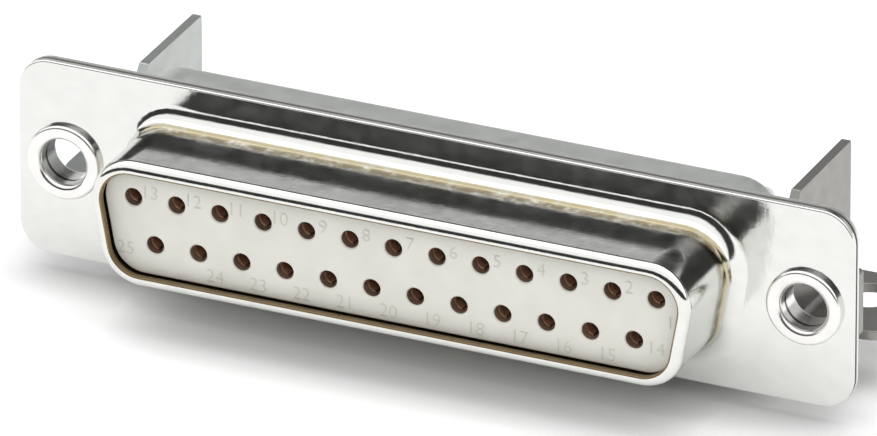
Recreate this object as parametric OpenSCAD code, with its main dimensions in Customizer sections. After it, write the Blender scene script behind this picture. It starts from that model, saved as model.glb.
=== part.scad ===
// Right-angle 25-way D-subminiature socket connector for a printed circuit board.
// X runs across the flange, Y into the equipment and Z up, in millimetres.
// The origin is the centre of the flange's front face, and the plug comes from the -Y side.

/* [Contact grid] */
// Distance between neighbouring contacts in a row
contact_pitch = 2.76; // [2.7:0.01:2.8]
// Distance between the two rows at the mating face
row_gap = 2.84; // [2.7:0.01:3]
// Number of contacts in the upper row, one more than in the lower row
upper_count = 13; // [5,8,13]

/* [Flange] */
// Height of the flange beyond the rear cup, above and below
flange_rim = 0.9; // [0.7:0.05:1.5]
// Distance from the rear cup's side to the middle of a screw hole
screw_offset = 3.22; // [3.1:0.01:3.5]
// Distance from the middle of a screw hole to the end of the flange
flange_end = 3; // [2.8:0.1:4]
// Corner radius of the flange
flange_r = 2; // [0.5:0.1:3]
// Thickness of the sheet steel of both shells
sheet_t = 0.45; // [0.35:0.01:0.5]

/* [Front shell] */
// Distance from the outermost contacts to the outside of the D-shaped skirt at its widest
skirt_side = 2.39; // [2.3:0.01:2.6]
// Distance from a row of contacts to the outside of the skirt's top or underside
skirt_rise = 2.53; // [2.4:0.01:2.7]
// Outside corner radius of the skirt
skirt_r = 2.6; // [2:0.1:3]
// Lean of the short sides of both shells from the vertical, in degrees
side_lean = 10; // [6:1:14]
// Distance from the flange's front face to the skirt's front edge
skirt_depth = 6.35; // [5.6:0.05:7]
// Radius of the hollow bend where the skirt leaves the flange
skirt_root_r = 1.1; // [0.5:0.05:1]
// Outside radius of the rolled front lip
lip_r = 0.6; // [0.55:0.05:0.8]

/* [Rear shell] */
// How far the rear cup is wider than the skirt, at each side
cup_side = 1.35; // [1.2:0.05:1.6]
// How far the rear cup is higher than the skirt, above and below
cup_rise = 1.4; // [1.2:0.05:1.6]
// Outside corner radius of the rear cup
cup_r = 2.6; // [2.2:0.1:3]
// Distance that the cup stands out behind its flange
cup_depth = 3.75; // [3.2:0.05:4.2]
// Radius of the hollow bend where the cup leaves its flange
cup_root_r = 0.4; // [0.3:0.05:0.5]
// Width of the flat part of the cup's turned-in rear lip
cup_lip = 0.5; // [0.3:0.05:0.8]

/* [Insulators] */
// Distance of the insulator's face behind the skirt's front edge
face_recess = 0.85; // [0.6:0.05:1.2]
// Gap between an insulator's rim and the shell round it
rim_gap = 0.15; // [0.08:0.01:0.18]
// Distance from the flange's front face back to the joint between the insulators
split_depth = 2.6; // [2.2:0.1:3]
// Distance from the outermost contacts to the side of the block that stands out of the rear cup
block_side = 1.44; // [1.3:0.01:1.6]
// Distance from a row of contacts to the block's top or underside
block_rise = 1.48; // [1.3:0.01:1.8]
// Corner radius of the block
block_r = 0.8; // [0.4:0.1:1.5]
// Distance that the block stands out of the rear cup
block_length = 1.95; // [1.4:0.05:2.1]

/* [Contacts] */
// Diameter of the entry hole in the insulator's face
entry_d = 1.2; // [1.1:0.05:1.4]
// Width of the chamfer round each entry hole
entry_chamfer = 0.16; // [0.05:0.01:0.25]
// Thickness of the insulator in front of the sockets
entry_wall = 0.7; // [0.4:0.1:1]
// Outside diameter of a socket
socket_d = 1.7; // [1.5:0.05:1.8]
// Bore of a socket, for a 1 mm pin
socket_bore = 1.05; // [1.02:0.01:1.2]
// Depth of the bore
bore_depth = 5.2; // [4:0.1:6]
// Width of the slot that splits a socket into two springs
slot_w = 0.25; // [0.15:0.05:0.35]
// Length of that slot
slot_length = 3.6; // [2.5:0.1:4]
// Diameter of the shoulder that holds a contact between the insulators
shoulder_d = 2.1; // [1.95:0.05:2.2]
// Thickness of that shoulder
shoulder_t = 0.6; // [0.4:0.1:1]
// Length of a socket behind its shoulder
stub_length = 1; // [0.5:0.1:1.4]
// Diameter of a tail
tail_d = 0.7; // [0.6:0.05:0.8]
// Bend radius on the middle line of a tail
tail_bend_r = 1; // [0.8:0.1:1.2]
// Distance from the rear of the block to the tails of the lower row
tail_offset = 1.48; // [1.4:0.02:1.8]
// Distance between the two rows of tails
tail_gap = 2.84; // [2.5:0.02:3]
// Length of a tail below the board's top face
tail_below_board = 3.2; // [2.4:0.1:4]
// Gap all round a socket or a tail in its hole
hole_gap = 0.06; // [0.03:0.01:0.1]

/* [Brackets] */
// Thickness of the bracket's sheet steel
bracket_t = 0.6; // [0.5:0.05:0.7]
// Gap between the rear cup and each bracket
bracket_gap = 0.17; // [0.1:0.01:0.3]
// Inside bend radius of the bracket
bracket_bend_r = 0.4; // [0.3:0.05:0.6]
// Height of the tab behind the flange
tab_h = 4.7; // [4.6:0.1:5.2]
// Corner cut on the tab's lower outer corner
tab_corner = 0.7; // [0.3:0.1:1]
// Distance from the middle of the flange down to the lower edge of the neck between tab and flank
neck_low = 1.6; // [1:0.1:2.2]
// Length of the neck behind its bend
neck_length = 1.3; // [0.5:0.1:2]
// Height of the bracket's upper edge above the middle of the flange
flank_top = 4.7; // [4:0.1:5]
// Distance from the rear cup back to where the bracket's full height starts
flank_gap = 0.3; // [0.2:0.05:0.6]
// Length of the bracket at its full height
flank_length = 7.45; // [7:0.05:8.5]
// Corner radius at the flank's upper rear corner
flank_r = 0.15; // [0.1:0.05:1]
// Depth of the board's top face below the middle of the flange
board_drop = 4.1; // [3.9:0.1:4.6]
// Corner radius of the foot
foot_r = 1.5; // [0.5:0.1:2]
// Diameter of the board screw's hole in the foot
foot_hole_d = 3.1; // [2.9:0.1:3.4]
// Distance from the front of the foot back to the middle of its hole
foot_hole_offset = 4.45; // [4:0.05:5]

/* [Rivets] */
// Bore of the eyelet, clear of the jackscrew's thread
rivet_bore = 2.9; // [2.85:0.05:3.2]
// Wall of the eyelet's tube
rivet_wall = 0.3; // [0.25:0.05:0.35]
// Diameter of the eyelet's front head
head_d = 4.7; // [4.5:0.1:5]
// Height of the front head above the flange
head_h = 0.45; // [0.35:0.05:0.5]
// Rounding of the head's outer edge
head_edge_r = 0.2; // [0.1:0.05:0.25]
// Radius of the rounded mouth of the bore
mouth_r = 0.35; // [0.2:0.05:0.4]
// Diameter of the rolled rear flare
flare_d = 4.4; // [4.2:0.1:4.6]
// Thickness of the rear flare
flare_t = 0.3; // [0.2:0.05:0.4]

/* [Tail spacer] */
// Distance from the outermost tails to the end of the spacer plate
spacer_side = 2.14; // [1.7:0.01:2.8]
// Thickness of the spacer plate
spacer_t = 1.1; // [0.8:0.1:1.3]
// Distance from a row of tails to the nearest edge of the spacer
spacer_margin = 1.3; // [1:0.1:1.4]
// Corner radius of the spacer plate
spacer_r = 0.8; // [0.3:0.1:1]
// Height of the spacer's underside above the board
spacer_lift = 0.1; // [0:0.05:0.3]

/* [Hidden] */
$fn = 48;
past = 1;                                   // how far a cutter runs past a face
seam = 0.002;                               // a prism's sides stand this far inside its corner rounds
bend_steps = 6;                             // flats in a quarter turn of a shell's bend
contact_count = 2 * upper_count - 1;
row_w = (upper_count - 1) * contact_pitch;
skirt_w = row_w + 2 * skirt_side;
skirt_h = row_gap + 2 * skirt_rise;
cup_w = skirt_w + 2 * cup_side;
cup_h = skirt_h + 2 * cup_rise;
screw_pitch = cup_w + 2 * screw_offset;
flange_w = screw_pitch + 2 * flange_end;
flange_h = cup_h + 2 * flange_rim;
block_w = row_w + 2 * block_side;
block_h = row_gap + 2 * block_rise;
spacer_w = row_w + 2 * spacer_side;
face_z = skirt_depth - face_recess;         // insulator's face, in front of the flange
flange_back = 2 * sheet_t;                  // rear face of the two flanges, behind the front face
cup_back = flange_back + cup_depth;         // rear edge of the cup
collar_back = cup_back - sheet_t;           // inner face of the cup's rear lip
block_depth = cup_back + block_length;
lower_tail_y = block_depth + tail_offset;
flank_front = cup_back + flank_gap;
flank_back = flank_front + flank_length;
foot_hole_y = flank_front + foot_hole_offset;
rivet_tube_d = rivet_bore + 2 * rivet_wall;
socket_front = face_z - entry_wall;
socket_back = -split_depth - stub_length;
tail_tip = -board_drop - tail_below_board;

// Centre of the upper right corner arc of an outline
function corner_centre(w, h, r) = [w / 2 - r, h / 2 - r];
skirt_corner = corner_centre(skirt_w, skirt_h, skirt_r);
cup_corner = corner_centre(cup_w, cup_h, cup_r);
flange_corner = corner_centre(flange_w, flange_h, flange_r);
block_corner = corner_centre(block_w, block_h, block_r);

// How far from the middle the lower corner centre is, where the side leans in downwards
function lower_x(corner, lean) = corner.x - 2 * corner.y * tan(lean);

// Points along an arc
function arc(centre, r, from, to) =
    [for (k = [0 : bend_steps]) let (a = from + (to - from) * k / bend_steps)
        centre + r * [cos(a), sin(a)]];

// Place of a contact on the mating face, as seen from the plug
function contact_xy(n) = n <= upper_count
    ? [((upper_count + 1) / 2 - n) * contact_pitch, row_gap / 2]
    : [(3 * upper_count / 2 - n) * contact_pitch, -row_gap / 2];

// Distance of a contact's tail behind the flange's front face
function tail_y(n) = lower_tail_y + (n <= upper_count ? tail_gap : 0);

// Turns a shape drawn face on (x right, y up, z towards the plug) into the part's frame
module face_on() {
    rotate([90, 0, 0]) children();
}

// Turns by an angle in six-digit steps and then by the rest, so that neighbouring stretches meet
function six_digits(v) = round(v * 1e6) / 1e6;
module fine_turn(angle) {
    rest = angle - atan2(six_digits(sin(angle)), six_digits(cos(angle)));
    rotate([0, 0, angle]) rotate([0, 0, rest]) children();
}

// Carries a section along a straight stretch; the section's x points in the given direction
module straight(direction, from, to) {
    rotate([0, 0, direction]) rotate([90, 0, 0]) translate([0, 0, from])
        linear_extrude(to - from) children();
}

// Carries a section round the right half of an outline whose side leans in downwards.
// The section's x is the distance from the corner centres, and its y points towards the viewer.
module right_half(corner, lean) {
    side = 2 * corner.y / cos(lean);
    translate([corner.x, corner.y, 0]) {
        straight(90, -corner.x - past, 0) children();
        rotate_extrude(start = -lean, angle = 90 + lean) children();
        fine_turn(-lean) {
            straight(0, 0, side) children();
            translate([0, -side, 0]) fine_turn(lean) {
                rotate_extrude(start = -90, angle = 90 - lean) children();
                straight(-90, 0, lower_x(corner, lean) + past) children();
            }
        }
    }
}

// Carries a section all round an outline
module ring(corner, lean) {
    right_half(corner, lean) children();
    mirror([1, 0, 0]) right_half(corner, lean) children();
}

// Solid prism of an outline, standing on z = 0: a round at each corner and a core with flat sides
module prism(corner, lean, r, depth) {
    lower = [lower_x(corner, lean), -corner.y];
    flat = r - seam;
    slant = flat * [cos(lean), -sin(lean)];
    right = [corner + [0, flat], corner + slant, lower + slant, lower - [0, flat]];
    for (side = [-1, 1], centre = [corner, lower])
        translate([side * centre.x, centre.y, 0]) cylinder(h = depth, r = r);
    linear_extrude(depth)
        polygon(concat(right, [for (k = [3 : -1 : 0]) [-right[k].x, right[k].y]]));
}

// Cutter for an opening whose edge meets a ring's end face all round
module opening(corner, lean, r, depth) {
    core = corner + [r, r] / 2;
    low = lower_x(corner, lean) + r / 2;
    ring(corner, lean) translate([r / 4, 0]) square([3 * r / 4, depth]);
    linear_extrude(depth)
        polygon([[-core.x, core.y], [core.x, core.y], [low, -core.y], [-low, -core.y]]);
}

// One drawn shell: a flange from z = -sheet_t to 0 and a wall with a rolled lip that stands out of it
module drawn_shell(corner, wall_r, depth, root_r, lip_flat) {
    root = [wall_r + root_r, root_r];
    roll = [wall_r - lip_r, depth - lip_r];
    lip_x = roll.x - lip_flat;
    difference() {
        translate([0, 0, -sheet_t]) prism(flange_corner, 0, flange_r, sheet_t);
        translate([0, 0, -sheet_t - past]) opening(corner, side_lean, wall_r + root_r, sheet_t + 2 * past);
        for (side = [-1, 1])
            translate([side * screw_pitch / 2, 0, -sheet_t - past])
                cylinder(h = sheet_t + 2 * past, d = rivet_tube_d + 2 * hole_gap);
    }
    ring(corner, side_lean) polygon(concat(
        arc(root, root_r, 270, 180), arc(roll, lip_r, 0, 90),
        [if (lip_flat > 0) [lip_x, depth], if (lip_flat > 0) [lip_x, depth - sheet_t]],
        arc(roll, lip_r - sheet_t, 90, 0), arc(root, root_r + sheet_t, 180, 270)));
}

module front_shell() {
    color([0.86, 0.86, 0.84]) face_on()
        drawn_shell(skirt_corner, skirt_r, skirt_depth, skirt_root_r, 0);
}

module rear_shell() {
    color([0.72, 0.74, 0.72]) face_on() translate([0, 0, -flange_back]) mirror([0, 0, 1])
        drawn_shell(cup_corner, cup_r, cup_depth, cup_root_r, cup_lip);
}

module front_insulator() {
    color([0.86, 0.86, 0.82]) face_on() difference() {
        union() {
            translate([0, 0, -sheet_t - past])
                prism(skirt_corner, side_lean, skirt_r - sheet_t - rim_gap, past + sheet_t + face_z);
            translate([0, 0, -split_depth])
                prism(cup_corner, side_lean, cup_r - sheet_t - rim_gap, split_depth - sheet_t);
        }
        for (n = [1 : contact_count]) translate(contact_xy(n)) {
            translate([0, 0, -split_depth - past]) {
                cylinder(h = split_depth + past + socket_front, d = socket_d + 2 * hole_gap);
                cylinder(h = past + shoulder_t, d = shoulder_d + 2 * hole_gap);
            }
            cylinder(h = face_z + past, d = entry_d);
            translate([0, 0, face_z - entry_chamfer])
                cylinder(h = 2 * entry_chamfer, d1 = entry_d, d2 = entry_d + 4 * entry_chamfer);
        }
    }
}

module rear_insulator() {
    color([0.84, 0.84, 0.8]) face_on() difference() {
        translate([0, 0, -split_depth]) mirror([0, 0, 1]) {
            prism(cup_corner, side_lean, cup_r - sheet_t - rim_gap, collar_back - split_depth);
            translate([0, 0, past]) prism(block_corner, 0, block_r, block_depth - split_depth - past);
        }
        for (n = [1 : contact_count]) translate(contact_xy(n)) {
            translate([0, 0, socket_back]) cylinder(h = stub_length + past, d = socket_d + 2 * hole_gap);
            translate([0, 0, -block_depth - past]) cylinder(h = block_depth, d = tail_d + 2 * hole_gap);
        }
    }
}

// One contact: a slotted socket, the shoulder, and a tail bent down towards the board
module contact(n) {
    place = contact_xy(n);
    drop_top = place.y - tail_bend_r;
    bend_z = tail_bend_r - tail_y(n);
    color([0.78, 0.6, 0.3]) face_on() translate([place.x, 0, 0]) {
        translate([0, place.y, 0]) {
            difference() {
                union() {
                    translate([0, 0, socket_back]) cylinder(h = socket_front - socket_back, d = socket_d);
                    translate([0, 0, -split_depth]) cylinder(h = shoulder_t, d = shoulder_d);
                }
                translate([0, 0, socket_front - bore_depth])
                    cylinder(h = bore_depth + past, d = socket_bore);
                translate([-slot_w / 2, -socket_d, socket_front - slot_length])
                    cube([slot_w, 2 * socket_d, slot_length + past]);
            }
            translate([0, 0, bend_z]) cylinder(h = socket_back - bend_z, d = tail_d);
        }
        translate([0, drop_top, bend_z]) rotate([-90, 0, 90])
            rotate_extrude(angle = 90) translate([tail_bend_r, 0]) circle(d = tail_d);
        translate([0, drop_top, -tail_y(n)]) rotate([90, 0, 0])
            cylinder(h = drop_top - tail_tip, d = tail_d);
    }
}

module tail_spacer() {
    plate_h = tail_gap + 2 * spacer_margin;
    plate_low = spacer_lift - board_drop;
    color([0.84, 0.84, 0.8]) difference() {
        translate([0, lower_tail_y + tail_gap / 2, plate_low])
            prism(corner_centre(spacer_w, plate_h, spacer_r), 0, spacer_r, spacer_t);
        for (n = [1 : contact_count])
            translate([contact_xy(n).x, tail_y(n), plate_low - past])
                cylinder(h = spacer_t + 2 * past, d = tail_d + 2 * hole_gap);
    }
}

// What a rounding of radius r leaves outside it at a square corner
module corner_waste(r) {
    difference() {
        square(r + past);
        circle(r);
    }
}

// Eyelet through both flanges and the bracket's tab
module rivet(side) {
    bore_r = rivet_bore / 2;
    tab_back = flange_back + bracket_t;
    color([0.88, 0.88, 0.86]) face_on() translate([side * screw_pitch / 2, 0, 0]) rotate_extrude() {
        difference() {
            translate([bore_r, 0]) square([head_d / 2 - bore_r, head_h]);
            translate([head_d / 2 - head_edge_r, head_h - head_edge_r]) corner_waste(head_edge_r);
            translate([bore_r + mouth_r, head_h - mouth_r]) mirror([1, 0]) corner_waste(mouth_r);
        }
        translate([bore_r, -tab_back]) square([rivet_wall, tab_back]);
        translate([bore_r, -tab_back - flare_t]) square([flare_d / 2 - bore_r, flare_t]);
    }
}

// Right-hand bracket: a tab behind the flange, a flank that runs back, and a foot on the board
module bracket() {
    inner_x = cup_w / 2 + bracket_gap;
    outer_r = bracket_bend_r + bracket_t;
    bend_x = inner_x + outer_r;
    bend_y = flange_back + outer_r;
    fold_z = outer_r - board_drop;
    neck_back = bend_y + neck_length;
    edge_x = flange_w / 2;
    color([0.66, 0.66, 0.64]) {
        // tab
        translate([0, bend_y - bracket_bend_r, 0]) rotate([90, 0, 0])
            linear_extrude(bracket_t) difference() {
                polygon([
                    [bend_x, -tab_h / 2], [edge_x - tab_corner, -tab_h / 2],
                    [edge_x, tab_corner - tab_h / 2], [edge_x, tab_h / 2], [bend_x, tab_h / 2]]);
                translate([screw_pitch / 2, 0]) circle(d = rivet_tube_d + 2 * hole_gap);
            }
        // bend between tab and flank
        translate([bend_x, bend_y, -neck_low]) rotate([0, 0, 180]) rotate_extrude(angle = 90)
            translate([bracket_bend_r, 0]) square([bracket_t, neck_low + tab_h / 2]);
        // flank
        translate([inner_x, 0, 0]) rotate([90, 0, 90]) linear_extrude(bracket_t) difference() {
            polygon([
                [bend_y, -neck_low], [neck_back, -neck_low], [flank_front, fold_z],
                [flank_back, fold_z], [flank_back, flank_top], [flank_front, flank_top],
                [neck_back, tab_h / 2], [bend_y, tab_h / 2]]);
            translate([flank_back - flank_r, flank_top - flank_r]) corner_waste(flank_r);
        }
        // fold between flank and foot
        translate([bend_x, flank_front, fold_z]) rotate([-90, 0, 0]) rotate([0, 0, 90])
            rotate_extrude(angle = 90)
                translate([bracket_bend_r, 0]) square([bracket_t, flank_back - flank_front]);
        // foot
        translate([0, 0, -board_drop]) linear_extrude(bracket_t) difference() {
            translate([bend_x, flank_front]) square([edge_x - bend_x, flank_back - flank_front]);
            translate([edge_x - foot_r, flank_back - foot_r]) corner_waste(foot_r);
            translate([edge_x - foot_r, flank_front + foot_r]) mirror([0, 1]) corner_waste(foot_r);
            translate([screw_pitch / 2, foot_hole_y]) circle(d = foot_hole_d);
        }
    }
}

front_shell();
rear_shell();
front_insulator();
rear_insulator();
tail_spacer();
rivet(-1);  // rivet_left
rivet(1);  // rivet_right
mirror([1, 0, 0]) bracket();  // bracket_left
bracket();  // bracket_right
for (n = [1 : contact_count])
    contact(n);
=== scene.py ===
import math

import bpy
import numpy as np
from bpy.props import FloatProperty, FloatVectorProperty, PointerProperty
from bpy.types import Operator, Panel, PropertyGroup
from mathutils import Matrix, Vector
from mathutils.geometry import delaunay_2d_cdt


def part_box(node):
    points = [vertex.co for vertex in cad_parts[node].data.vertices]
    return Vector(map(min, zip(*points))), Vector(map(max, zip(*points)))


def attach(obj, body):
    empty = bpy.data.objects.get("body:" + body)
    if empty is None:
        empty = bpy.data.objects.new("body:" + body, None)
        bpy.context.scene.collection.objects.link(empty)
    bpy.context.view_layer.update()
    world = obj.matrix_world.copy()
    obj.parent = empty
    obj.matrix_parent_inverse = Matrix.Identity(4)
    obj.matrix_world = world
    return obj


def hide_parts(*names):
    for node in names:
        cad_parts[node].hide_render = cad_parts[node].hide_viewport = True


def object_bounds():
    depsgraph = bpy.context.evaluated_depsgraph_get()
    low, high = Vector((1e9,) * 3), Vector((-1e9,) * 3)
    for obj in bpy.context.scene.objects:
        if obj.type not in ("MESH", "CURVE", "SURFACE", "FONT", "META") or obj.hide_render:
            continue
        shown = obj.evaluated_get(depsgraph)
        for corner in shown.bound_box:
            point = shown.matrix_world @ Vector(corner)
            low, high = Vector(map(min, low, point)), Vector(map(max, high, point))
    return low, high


bl_info = {
    "name": "D-sub socket finish",
    "version": (1, 0, 0),
    "blender": (4, 5, 0),
    "location": "3D View > Sidebar > D-sub",
    "description": "Dresses a right-angle board socket with drawn shells, moulded insulators and contacts",
    "category": "Object",
}

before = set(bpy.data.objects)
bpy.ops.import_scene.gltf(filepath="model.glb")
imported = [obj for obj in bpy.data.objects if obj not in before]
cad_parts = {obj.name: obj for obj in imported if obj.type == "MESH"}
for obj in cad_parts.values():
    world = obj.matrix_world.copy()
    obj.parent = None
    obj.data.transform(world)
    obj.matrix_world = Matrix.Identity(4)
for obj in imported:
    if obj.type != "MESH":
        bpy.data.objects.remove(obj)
CAD_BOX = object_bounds()

MM = 0.001
COUNT = 25
UPPER = 13
SIDES = {"left": -1, "right": 1}


def middle(node):
    """The centre of a solid's box."""
    low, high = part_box(node)
    return (low + high) / 2


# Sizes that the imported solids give
SHELL_LOW, SHELL_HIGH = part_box("front_shell")
CUP_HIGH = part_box("rear_shell")[1]
BRACKET_LOW, BRACKET_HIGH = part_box("bracket_right")
RIVET_LOW, RIVET_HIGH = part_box("rivet_right")
BLOCK_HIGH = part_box("rear_insulator")[1]
SPACER_LOW, SPACER_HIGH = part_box("tail_spacer")
FACE_Z = -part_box("front_insulator")[0].y
SHEET = SHELL_HIGH.y
SKIRT_DEPTH = -SHELL_LOW.y
FLANGE_BACK = 2 * SHEET
CUP_DEPTH = CUP_HIGH.y - FLANGE_BACK
SCREW_X = middle("rivet_right").x
TAIL_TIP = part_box("contact_1")[0].z
FLOOR_Z = CAD_BOX[0][2]

# Insulators: half sizes of the rear block, roundings, and the clearance round a tail
BLOCK_X = 18 * MM
BLOCK_Z = 2.9 * MM
BLOCK_EDGE = 0.15 * MM
SPACER_CORNER = 0.8 * MM
SPACER_EDGE = 0.12 * MM
TAIL_GAP = 0.06 * MM

# Numbers: where they stand from their hole in millimetres, the text size that gives a digit its height, and how
# much thinner than the font their strokes are
NUMBER_UPPER = (1.08, 0.45)
NUMBER_LOWER = (1.1, -1.25)
NUMBER_AT = {1: (0.9, -1.3), 25: (-1.85, -0.47), 14: (1.4, -0.28)}
TEXT_PER_DIGIT = 1.36
THINNER = -0.015 * MM

# Contacts: roundings, and how far the shoulder reaches into the socket's wall
MOUTH_OUTER = 0.1 * MM
MOUTH_INNER = 0.12 * MM
SOCKET_BACK = 0.15 * MM
BORE_FLOOR = 0.1 * MM
SHOULDER_EDGE = 0.1 * MM
SHOULDER_SINK = 0.1 * MM
TAIL_ROUNDING = 0.25 * MM

# Rivets and brackets: roundings
FLARE_MOUTH = 0.2 * MM
FLARE_EDGE = 0.14 * MM
FLARE_ROOT = 0.1 * MM
BRACKET_EDGE = 0.06 * MM
BRACKET_CORNER = 0.12 * MM
TAB_CORNER = 0.3 * MM
NECK_CORNER = 0.5 * MM
NECK_SET = 0.1 * MM

# Places along Y, in millimetres: where a tint starts, is full, starts to fade and ends
STAIN_Y = (-1.6, -1.2, -0.8, -0.5)
# Band of painted shade on the skirt just in front of its root bend.
PAINTED_BAND_PLACES = (-2.2, -1.5, -1.15, -0.95)
# The seam band here and the seam tint below paint shade into the seam between the two flanges.
PAINTED_SEAM_PLACES = (-0.16, -0.06, 0.06, 0.16)
TIN_Y = (-0.4, -0.1)
# Tint of that painted shade.
PAINTED_BAND_SHADE = (0.26, 0.21, 0.14)
# Tint of the painted shade in the seam between the two flanges.
PAINTED_SEAM_DARKENING = (0.10, 0.09, 0.08)

# Stage, in metres and degrees, and the camera's sensor in millimetres. The sky's bands run from behind the part
# over its top to its front.
SENSOR_W = 36
CLIP_END = 10
FLOOR_REACH = 3
# Painted shadow on the floor near the part: how fast it falls off and its darkest tint.
PAINTED_SHADOW_POWER = 1.4
PAINTED_SHADOW_TINT = 0.3
LAMP_SIZE = 0.11
LAMP_RISE = 0.05
SKY_BANDS = [(0, "back"), (28, "back"), (33, "dark"), (50, "dark"), (58, "bright"), (95, "bright"),
             (110, "front"), (140, "front"), (148, "dark"), (180, "dark")]


# ---------------------------------------------------------------- sizes and colours that a user may change

def length(name, description, default):
    """A length in metres, given in millimetres."""
    return FloatProperty(name=name, description=description, default=default * MM, min=0, unit="LENGTH",
                         precision=5)


def colour(name, description, default):
    return FloatVectorProperty(name=name, description=description, default=default, subtype="COLOR", size=3,
                               min=0, max=1)


def share(name, description, default):
    return FloatProperty(name=name, description=description, default=default, min=0, max=1, subtype="FACTOR")


class DSUB_PG_shell(PropertyGroup):
    """Sizes of the two drawn shells and their finish."""
    flange_r: length("Flange corner", "Radius of the flange's corners", 2)
    edge: length("Sheet edge", "Rounding of the sheet's cut edges", 0.12)
    skirt_w: length("Skirt width", "Outside width of the skirt", 37.9)
    skirt_h: length("Skirt height", "Outside height of the skirt", 7.9)
    skirt_root: length("Skirt root bend", "How far the hollow bend climbs the flange", 1.05)
    skirt_sweep: length("Skirt root sweep", "How far the hollow bend runs out along the skirt", 1.05)
    cup_w: length("Cup width", "Outside width of the rear cup", 40.6)
    cup_h: length("Cup height", "Outside height of the rear cup", 10.7)
    cup_root: length("Cup root bend", "Radius of the hollow bend between flange and cup", 0.4)
    cup_lip: length("Cup lip", "Flat width of the cup's rear lip", 0.5)
    corner: length("Outline corner", "Radius of the outlines' corners", 2.6)
    roll: length("Lip roll", "Outside radius of the roll between wall and lip", 0.6)
    lean: FloatProperty(name="Lean", description="Angle by which the side walls lean in", subtype="ANGLE",
                        default=math.radians(10))
    plating: colour("Plating", "Bright plating of the skirt and flange", (0.74, 0.745, 0.72))
    satin: colour("Satin plating", "Duller plating of the rear cup", (0.76, 0.78, 0.75))
    stain: colour("Stain", "Warm tarnish in the skirt's root bend", (0.66, 0.57, 0.36))
    # The shells' dark brown inside is partly tarnish and partly painted shade in the narrow gap round the
    # insulators.
    inside: colour("Inside", "Brown tarnish on the inside of the shells", (0.25, 0.18, 0.10))


class DSUB_PG_face(PropertyGroup):
    """Sizes of the insulators."""
    gap: length("Rim gap", "Gap between an insulator's rim and the shell", 0.15)
    rim: length("Rim rounding", "Rounding round the insulator's face", 0.12)
    split: length("Split", "Depth of the seam between the two insulators", 2.6)
    pitch: length("Contact pitch", "Distance between neighbouring contacts", 2.76)
    row_gap: length("Row gap", "Distance between the two rows", 2.84)
    hole_d: length("Hole", "Diameter of an entry hole", 1.1)
    lead_in: length("Lead-in", "Rounding at the mouth of an entry hole", 0.13)
    wall: length("Entry wall", "Depth of an entry hole before the contact", 0.7)
    block_r: length("Block corner", "Radius of the rear block's corners", 0.8)
    digit: length("Digit height", "Height of a contact's number", 0.86)
    relief: length("Digit relief", "How far a number stands out", 0.03)
    white: colour("Moulding", "White moulded plastic", (0.84, 0.835, 0.77))
    shade: colour("Moulding shade", "Darker patches of the plastic", (0.79, 0.785, 0.72))
    # The entry holes' walls are the same white moulding; this brown is painted shade, with a painted reflection
    # of the copper contacts.
    deep: colour("Deep", "Brown shade down in the entry holes", (0.25, 0.17, 0.12))
    # The numbers are the same white plastic; their greyer tint is painted shade of their relief.
    ink: colour("Digit", "Slightly greyer plastic of the raised numbers", (0.68, 0.68, 0.62))


class DSUB_PG_contact(PropertyGroup):
    """Sizes of a contact."""
    socket_d: length("Socket", "Outside diameter of a socket", 1.7)
    bore_d: length("Bore", "Diameter of a socket's bore", 1.05)
    bore_depth: length("Bore depth", "Depth of a socket's bore", 5.2)
    slot_w: length("Slot", "Width of the slots along a socket", 0.25)
    slot_l: length("Slot length", "Length of the slots", 3.6)
    shoulder_d: length("Shoulder", "Diameter of the shoulder", 2.1)
    shoulder_t: length("Shoulder thickness", "Thickness of the shoulder", 0.6)
    stub: length("Stub", "Length of the socket behind the seam", 1)
    tail_d: length("Tail", "Diameter of a solder tail", 0.7)
    bend_r: length("Tail bend", "Radius of a tail's bend", 1)
    brass: colour("Brass", "Worn gold over brass", (0.74, 0.44, 0.27))
    copper: colour("Copper", "Darker copper tint", (0.56, 0.31, 0.19))
    tin: colour("Tail tin", "Tinned end of a tail", (0.72, 0.71, 0.67))


class DSUB_PG_mount(PropertyGroup):
    """Sizes of the brackets and rivets."""
    sheet: length("Bracket sheet", "Thickness of a bracket", 0.6)
    bend_r: length("Bracket bend", "Inside radius of a bracket's bends", 0.4)
    tab_h: length("Tab height", "Height of the tab behind the flange", 4.7)
    tab_cut: length("Tab corner", "Corner cut on the tab", 0.7)
    neck_low: length("Neck", "Lower edge of the neck, below the middle", 1.6)
    neck_l: length("Neck length", "Length of the neck behind its bend", 1.3)
    flank_front: length("Flank front", "Front edge of the flank, behind the flange's face", 4.95)
    flank_r: length("Flank corner", "Radius of the flank's upper rear corner", 0.15)
    foot_r: length("Foot corner", "Radius of the foot's corners", 1.5)
    hole_d: length("Foot hole", "Diameter of the board screw's hole", 3.1)
    hole_y: length("Foot hole place", "The hole's distance behind the flange's face", 9.4)
    bore_d: length("Rivet bore", "Bore of a rivet", 2.9)
    wall: length("Rivet wall", "Wall of a rivet", 0.3)
    mouth: length("Rivet mouth", "Rounding of a rivet's mouth", 0.35)
    head_edge: length("Rivet edge", "Rounding of a rivet head's rim", 0.2)
    flare_t: length("Flare", "Thickness of a rivet's rear flare", 0.3)
    flare_d: length("Flare width", "Diameter of a rivet's rear flare", 4.4)
    # Both brackets have the same plating; these darker colours are painted shade, the right one painted darker
    # than the left.
    left: colour("Left bracket", "Dull plating of the left bracket", (0.45, 0.47, 0.455))
    right: colour("Right bracket", "Duller plating of the right bracket", (0.30, 0.29, 0.275))
    rivet: colour("Rivet plating", "Bright plating of the rivets", (0.82, 0.81, 0.79))


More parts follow.
